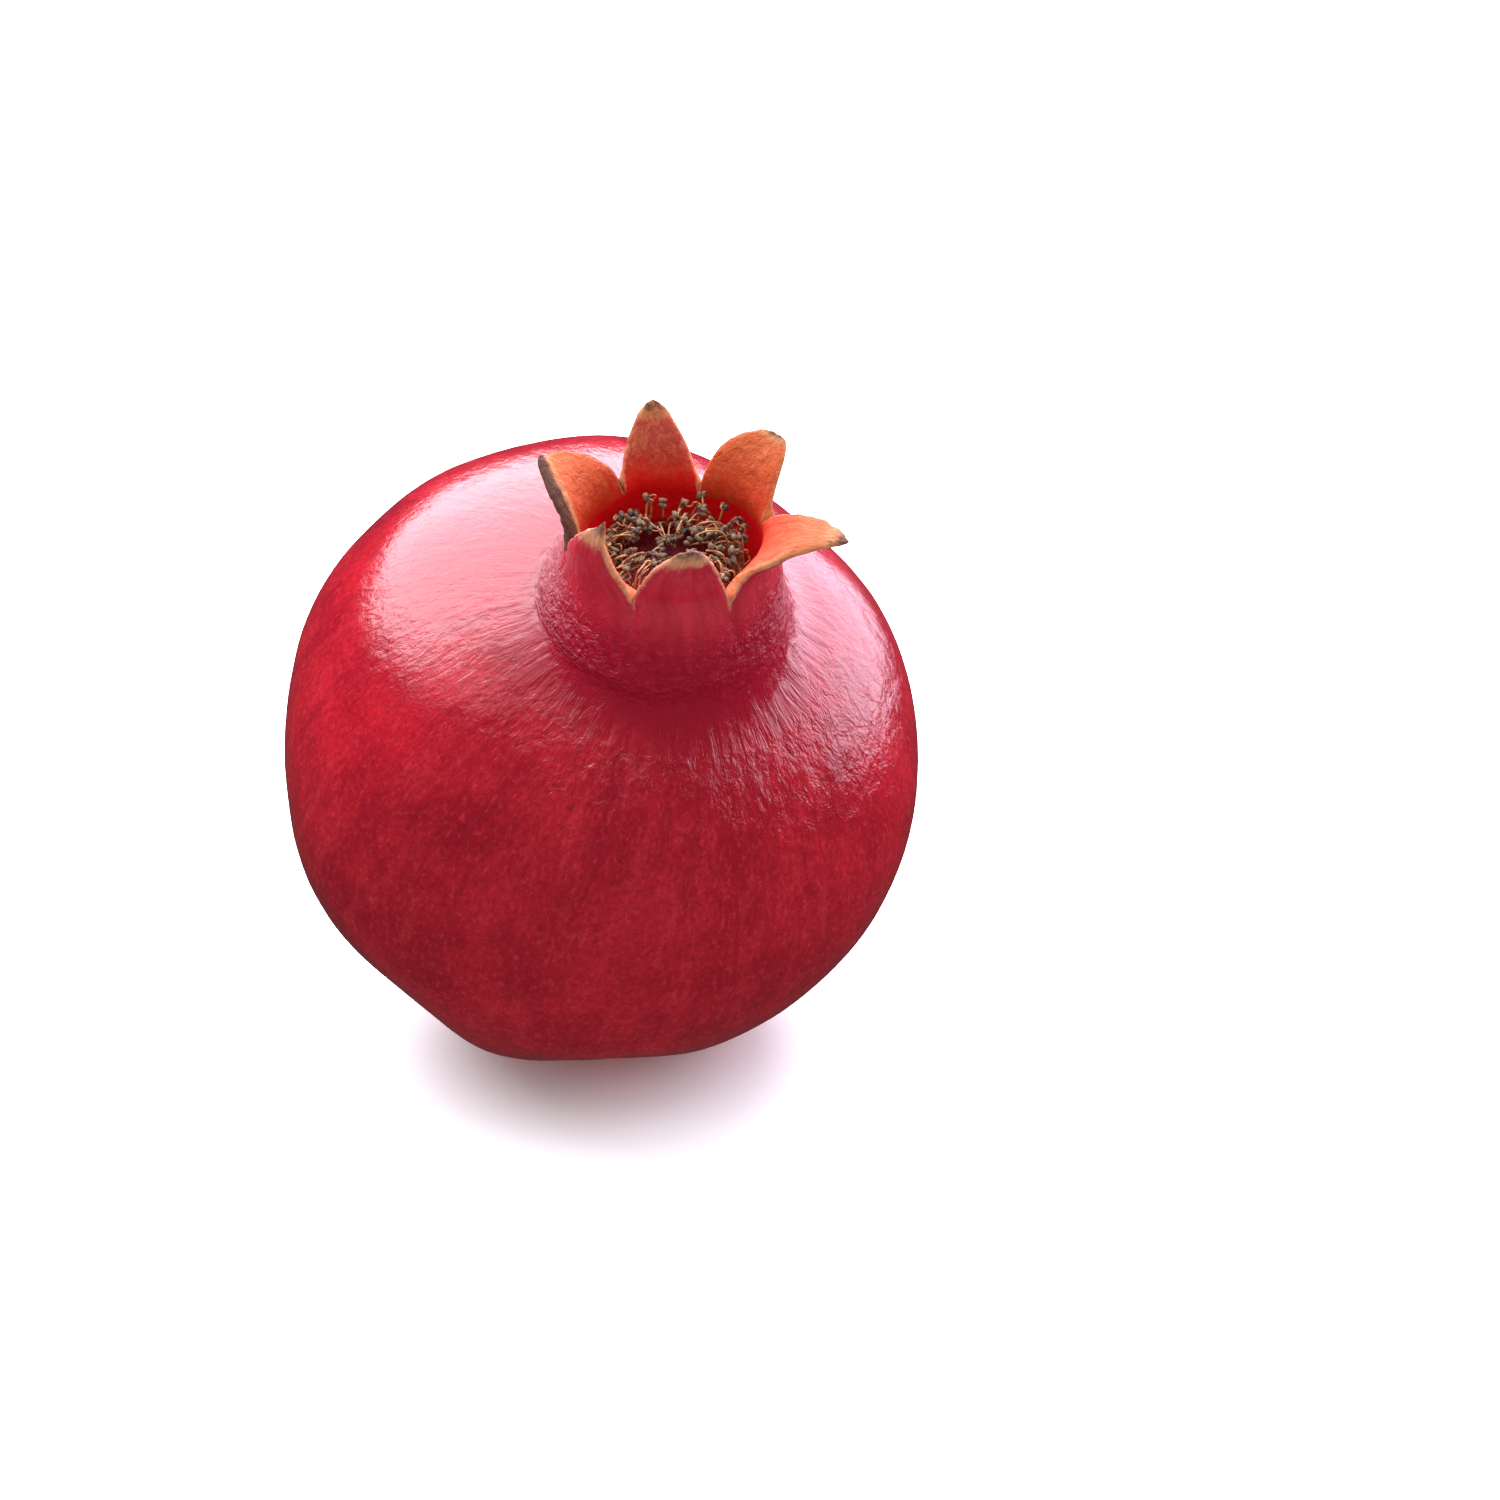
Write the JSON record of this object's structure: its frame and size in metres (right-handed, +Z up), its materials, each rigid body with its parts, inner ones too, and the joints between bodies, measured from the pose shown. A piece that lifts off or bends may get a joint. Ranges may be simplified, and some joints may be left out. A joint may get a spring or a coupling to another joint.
{
  "type": "pomegranate",
  "caption": "Whole ripe pomegranate with an open crown of pointed sepals round a tuft of dried stamens, resting on a small flat spot.",
  "frame": {"origin": "on the flat spot that the fruit rests on, straight below the middle of the body", "axes": "+Z up, -Y towards the side that the crown leans to, +X to the right seen from there"},
  "size_m": [0.0962, 0.0964, 0.1081],
  "materials": {
    "rind": "smooth waxy rind, crimson with paler streaks, fine wrinkles round the crown, orange and brown sepals",
    "stamens": "dry and matt, tan filaments with grey-brown anthers",
    "stem": "dry bark with a paler cut end"
  },
  "bodies": {
    "root": {"fruit": "rind", "stamens": "stamens", "stem_stub": "stem"}
  },
  "joints": []
}
